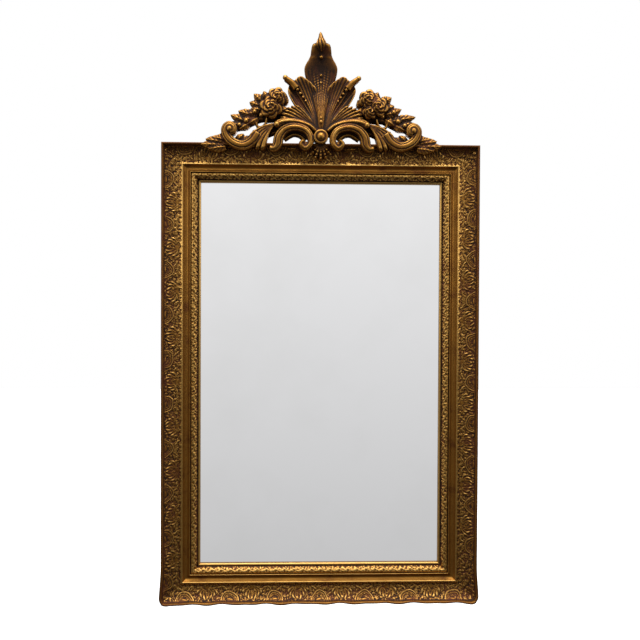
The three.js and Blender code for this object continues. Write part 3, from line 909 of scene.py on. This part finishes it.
def boss(whole):  # a domed button in a ring, turned
    look = bossLook
    bm = bmesh.new()
    ringMiddle = (look["ring"] + look["button"]) / 2
    ringHalf = (look["ring"] - look["button"]) / 2
    line = [(look["ring"], crest["back"])]
    line += list(arcPoints((ringMiddle, look["ringTop"] - ringHalf), (ringHalf, ringHalf), 0, 180, 10))
    dome = look["buttonTop"] - look["ringTop"] + ringHalf + 1
    line += list(arcPoints((0, look["ringTop"] - ringHalf - 1), (look["button"] - 0.6, dome), 0, 90, 12))
    verts = [bm.verts.new((x, -out, look["up"])) for x, out in line]
    edges = [bm.edges.new(pair) for pair in zip(verts, verts[1:])]
    bmesh.ops.spin(bm, geom=verts + edges, cent=(0, 0, look["up"]), axis=(0, 1, 0),
                   angle=2 * math.pi, steps=48, use_merge=True)
    closeUp(bm, 0.01)
    addTo(whole, bm)


routes = {  # where the scrolls of one half run
    "great": [(45, 5), (52, -3), (42, -13), (30, -3), (28, 14), (38, 30), (56, 38), (76, 39), (95, 31),
              (107, 15), (111, -3), (119, -13), (130, -13)],
    "great ground": [(38, 12), (54, 25), (74, 27), (96, 14)],
    "side ground": [(98, 44), (116, 36), (134, 28), (150, 22)],
    "upper": [(14, 30), (30, 43), (52, 51), (76, 54), (98, 52), (113, 45)],
    "end": [(160, 24), (172, 6), (190, -6), (208, -6), (227, 4), (239, 20), (240, 35), (231, 43),
            (221, 38), (221, 28), (228, 25)],
    "fan ground": [(36, 52), (70, 62), (102, 66), (140, 62)],
    "tendril": [(138, 62), (141, 49), (151, 40), (161, 42), (163, 50)],
}
layerOut = {"innerSpray": 54, "endSpray": 55, "leaves": 53, "buds": 58}
innerSpray = [((206, 0), (176, 16), 20), ((214, 4), (194, 22), 18), ((196, -4), (164, 4), 18)]
endSpray = [((240, 6), (270, 13), 24), ((242, 0), (290, 8), 28),
            ((244, -6), (302, -5), 28), ((240, -10), (282, -17), 24)]
leftSide = {
    "roses": [((127, 88), 28, 57, 10), ((113, 114), 24, 55, 41)],
    "leaves": [((134, 104), (146, 129), 22), ((145, 98), (170, 122), 26), ((150, 90), (181, 101), 24),
               ((148, 82), (178, 85), 22), ((170, 66), (209, 79), 25), ((184, 50), (228, 69), 24),
               ((192, 40), (229, 50), 22), ((158, 76), (188, 72), 22), ((172, 58), (200, 60), 22),
               ((180, 50), (206, 33), 20), ((160, 62), (184, 46), 19), ((98, 96), (88, 120), 22),
               ((104, 78), (86, 88), 20)],
    "buds": [((168, 77), 5.5), ((189, 54), 6), ((206, 44), 5), ((152, 68), 5)],
    "garland": [(132, 74), (164, 66), (194, 48), (224, 36)],
}
rightSide = {
    "roses": [((141, 92), 25, 57, 40), ((117, 110), 25, 56, 5), ((120, 80), 19, 54, 20)],
    "leaves": [((132, 106), (141, 130), 21), ((148, 100), (175, 117), 27), ((156, 86), (182, 96), 22),
               ((166, 72), (200, 88), 23), ((180, 58), (236, 69), 23), ((192, 44), (230, 54), 22),
               ((158, 74), (188, 78), 22), ((174, 58), (204, 58), 22), ((182, 48), (210, 33), 20),
               ((160, 62), (182, 46), 19), ((100, 92), (90, 110), 20), ((104, 78), (88, 84), 19)],
    "buds": [((180, 79), 5.5), ((191, 56), 6), ((208, 46), 5), ((152, 68), 5)],
    "garland": [(128, 74), (160, 66), (190, 48), (224, 36)],
}


def greatWidth(t):  # broadens to its foot, which is tucked round
    return 10 + 19 * min(t, 0.82) - 80 * max(0, t - 0.82)


def crestHalf(bm, leaves, buds, garland, roses):
    upperFan(bm)
    horn(bm)
    lowerReach = through((0, 88), (0.25, 97), (0.5, 103), (0.75, 105), (1, 102))
    shellFan(bm, (8, 24), 36, 70, lowerReach, 6, lambda t: 59 - 9 * t + 9 * t * t,
             bend=-15, scallop=0.14, curl=3)
    scroll(bm, routes["great"], 150, greatWidth, lambda t: 66 - 8 * t)
    scroll(bm, routes["great ground"], 40, lambda t: 20, lambda t: 46, hollowed)
    scroll(bm, routes["side ground"], 30, lambda t: 24, lambda t: 42, hollowed)
    scroll(bm, routes["upper"], 70, lambda t: 8 + 11 * t, lambda t: 58 + 3 * t)
    pearl(bm, routes["upper"][-1], 63, 7.5)
    shellFan(bm, (112, 50), 112, 156, lambda s: 74 + 12 * math.sin(math.pi * s), 5, lambda t: 56 + 6 * t,
             bend=-20, scallop=0.12, curl=2)
    scroll(bm, routes["end"], 110, lambda t: 27 - 11 * t, lambda t: 60)
    pearl(bm, (230, 33), 61, 9)  # the eye of the end scroll
    for root, tip, width in innerSpray:
        leaf(bm, root, tip, width, layerOut["innerSpray"], teeth=3)
    leaf(bm, (50, -14), (87, -12), 15, 42, teeth=0)  # under the great scroll
    for root, tip, width in endSpray:
        leaf(bm, root, tip, width, layerOut["endSpray"], teeth=3)
    scroll(bm, routes["fan ground"], 50, lambda t: 26 - 6 * t, lambda t: 41, hollowed)
    scroll(bm, garland, 40, lambda t: 34 - 18 * t * t, lambda t: 46, hollowed)
    scroll(bm, routes["tendril"], 40, lambda t: 6, lambda t: 50, rounded)
    for centre, size, face, turn in roses:
        rose(bm, centre, size, face, turn)
    for root, tip, width in leaves:
        leaf(bm, root, tip, width, layerOut["leaves"])
    for place, size in buds:
        pearl(bm, place, layerOut["buds"], size)
    pearl(bm, (42, -4), 62, 8)  # the eye of the great scroll


def pendant(bm):  # the palmette that hangs from the boss over the cove
    shellFan(bm, (0, 2), 112, 248, lambda s: 26 + 17 * math.sin(math.pi * s) ** 2, 7,
             lambda t: 56 - 12 * t * t, scallop=0.16, rise=3.0)
    for k in range(5):
        lean = math.radians(136 + 22 * k)
        for radius in (21, 29, 36):
            spot = (radius * math.sin(lean), radius * math.cos(lean))
            pearl(bm, spot, 59 - 12 * (radius / 43) ** 2, 2.6)


def groundFan(bm):  # low leaves behind the boss that close the gaps between the fans
    shellFan(bm, (0, 12), -74, 74, lambda s: 62, 11, lambda t: 47, rise=2.5)


def withModifier(mesh, kind, **values):  # a mesh as a modifier leaves it
    holder = newObject("holder", mesh)
    modifier = holder.modifiers.new("worked", kind)
    for key, value in values.items():
        setattr(modifier, key, value)
    worked = bpy.data.meshes.new_from_object(holder.evaluated_get(bpy.context.evaluated_depsgraph_get()))
    bpy.data.objects.remove(holder)
    return worked


crestToneAndShade = {
    "rounds": ((6, 0.8), (50, 0.17)), "pull": 0.7,  # rounds of smoothing, and weight
    "base": 0.44, "deep": 0.20, "deepEnds": (40, 66),  # painted shade: nearer the wall is darker
}


def crestHollows(mesh):  # how far the surface lies under its own smoothed copy
    t = crestToneAndShade
    spots = readSpots(mesh) / mm
    count = len(spots)
    edges = np.empty(len(mesh.edges) * 2, int)
    mesh.edges.foreach_get("vertices", edges)
    first, second = edges.reshape(-1, 2).T
    degree = np.bincount(first, minlength=count) + np.bincount(second, minlength=count)
    facing = readSpots(mesh, "normal")
    soft = spots.copy()
    hollow = np.zeros(count)
    for rounds, weight in t["rounds"]:
        for _ in range(rounds):
            sums = [np.bincount(first, soft[second, k], count)
                    + np.bincount(second, soft[first, k], count) for k in range(3)]
            mean = np.column_stack(sums) / degree[:, None]
            soft = soft + t["pull"] * (mean - soft)
        hollow += weight * np.einsum("ij,ij->i", soft - spots, facing)
    # painted shade on the crest's layers nearer the wall
    low = 1 - ease(-spots[:, 1], *t["deepEnds"])
    return np.clip(t["base"] + hollow + t["deep"] * low, 0, 1)


def makeCrest():
    bm = bmesh.new()
    crestHalf(bm, **leftSide)
    bmesh.ops.scale(bm, vec=(-1, 1, 1), verts=bm.verts)
    crestHalf(bm, **rightSide)
    middle = bmesh.new()
    for carve in (middleLeaf, topBud, boss, pendant, groundFan):
        carve(middle)
    bmesh.ops.translate(middle, vec=(crest["middleShift"], 0, 0), verts=middle.verts)
    addTo(bm, middle)
    bmesh.ops.translate(bm, vec=(0, 0, frameTop), verts=bm.verts)
    bmesh.ops.scale(bm, vec=(mm, mm, mm), verts=bm.verts)
    bmesh.ops.recalc_face_normals(bm, faces=bm.faces)
    rough = newMesh("crest_rough", bm)
    skin = withModifier(rough, "REMESH", mode="VOXEL", voxel_size=crest["voxel"] * mm)
    print("crest fused", len(skin.polygons))
    skin = withModifier(skin, "SMOOTH", factor=0.5, iterations=2)
    writeMask(skin, "hollow", crestHollows(skin))
    triangles = sum(len(face.vertices) - 2 for face in skin.polygons)
    skin = withModifier(skin, "DECIMATE", ratio=crest["mostFaces"] / triangles)
    for face in skin.polygons:  # the flat back is bare
        face.material_index = int(face.normal.y > 0.7 and face.center.y > -(crest["back"] + 1) * mm)
    return skin


addPiece("crest_carving", makeCrest(), (crestGilt, barePine), "crest")


# The plate and the board keep their solids

for nodeName, finish in (("mirror_plate", silver), ("back_board", boardPine)):
    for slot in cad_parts[nodeName].material_slots:
        slot.material = finish


# Camera, light and floor

camera = {
    "place": (-80.7, -2188.0, -362.7), "turn": (0.99, 0.22, 2.10),
    "focal": 850.0, "picture": 640.0, "sensor": 36.0,  # pixels, pixels and millimetres
}


def addCamera():
    data = bpy.data.cameras.new("camera")
    data.sensor_width = camera["sensor"]
    data.lens = camera["sensor"] * camera["focal"] / camera["picture"]
    aboutX, aboutY, aboutZ = (Matrix.Rotation(math.radians(angle), 3, axis)
                              for angle, axis in zip(camera["turn"], "XYZ"))
    seen = aboutZ @ aboutY @ aboutX
    axes = Matrix((seen[0], seen[2], -seen[1])).transposed()  # right, up and back
    item = newObject("camera", data)
    item.matrix_world = Matrix.Translation(Vector(camera["place"]) * mm) @ axes.to_4x4()
    bpy.context.scene.camera = item


studio = {
    "sky": ((0.0, 0.015), (0.38, 0.06), (0.46, 0.20), (0.53, 0.55),  # by height
            (0.60, 1.0), (0.78, 1.6), (1.0, 2.6)),
    "ahead": ((0.0, 0.02), (0.40, 0.08), (0.55, 0.28), (0.75, 0.8), (1.0, 2.6)),  # the dim front side
    "aheadEdge": ((0.55, 0.0), (0.90, 1.0)),
    "behind": ((0.0, 1.0), (0.25, 0.06)),  # of the sky's light, from the wall's side
    "screen": ((0.33, 0.56), (0.60, 0.93)),  # the pale screen that only the plate shows
    "floorDrop": 0.35, "floorSize": 9.0,
    "floor": {"Base Color": (0.95, 0.95, 0.95, 1), "Roughness": 0.9,
              "Emission Color": (1, 1, 1, 1), "Emission Strength": 0.4},
    "lights": (  # name, place, aim, size and power
        ("key", (0, -0.5, 1.5), (0, 0, -0.4), 1.2, 26),
        ("left", (-0.85, -0.5, -0.1), (-0.3, 0, -0.5), 0.5, 1.6),
        ("right", (0.85, -0.5, -0.1), (0.3, 0, -0.5), 0.5, 1.6),
        ("rear", (0.4, 2.4, 0.2), (0, 0, -0.4), 1.2, 22),
    ),
}


def addWorld():
    world = bpy.data.worlds.new("studio")
    world.use_nodes = True
    bpy.context.scene.world = world
    tree = world.node_tree
    background = tree.nodes["Background"]
    way = newNode(tree, "ShaderNodeTexCoord").outputs["Generated"]
    split = newNode(tree, "ShaderNodeSeparateXYZ")
    tree.links.new(way, split.inputs["Vector"])
    height = mathNode(tree, "ADD", mathNode(tree, "MULTIPLY", split.outputs["Z"], 0.5), 0.5)
    sky, ahead, screen = (ramp(tree, height, studio[name]) for name in ("sky", "ahead", "screen"))
    frontward = ramp(tree, mathNode(tree, "MULTIPLY", split.outputs["Y"], -1), studio["aheadEdge"])
    light = mixColour(tree, frontward, sky, ahead)
    rearward = ramp(tree, split.outputs["Y"], studio["behind"])
    light = mixColour(tree, rearward, (0.0, 0.0, 0.0), light)
    path = newNode(tree, "ShaderNodeLightPath")
    light = mixColour(tree, path.outputs["Is Singular Ray"], light, screen)
    light = mixColour(tree, path.outputs["Is Camera Ray"], light, (1.0, 1.0, 1.0))
    tree.links.new(light, background.inputs["Color"])


def addLight(name, place, aim, size, power):
    data = bpy.data.lights.new(name, "AREA")
    data.size = size
    data.energy = power
    item = newObject(name, data)
    item.location = place
    item.rotation_euler = (Vector(aim) - Vector(place)).to_track_quat("-Z", "Y").to_euler()


def addFloor():
    bm = bmesh.new()
    bmesh.ops.create_grid(bm, x_segments=1, y_segments=1, size=studio["floorSize"])
    bmesh.ops.translate(bm, vec=(0, 0, frameBottom * mm - studio["floorDrop"]), verts=bm.verts)
    mesh = newMesh("floor", bm)
    material, _, _ = newMaterial("pale floor", **studio["floor"])
    mesh.materials.append(material)
    floor = newObject("floor", mesh)
    floor.visible_glossy = False
    floor.visible_diffuse = False


addCamera()
addWorld()
for light in studio["lights"]:
    addLight(*light)
addFloor()
bpy.context.scene.view_settings.view_transform = "Standard"
print("camera, light and floor set")
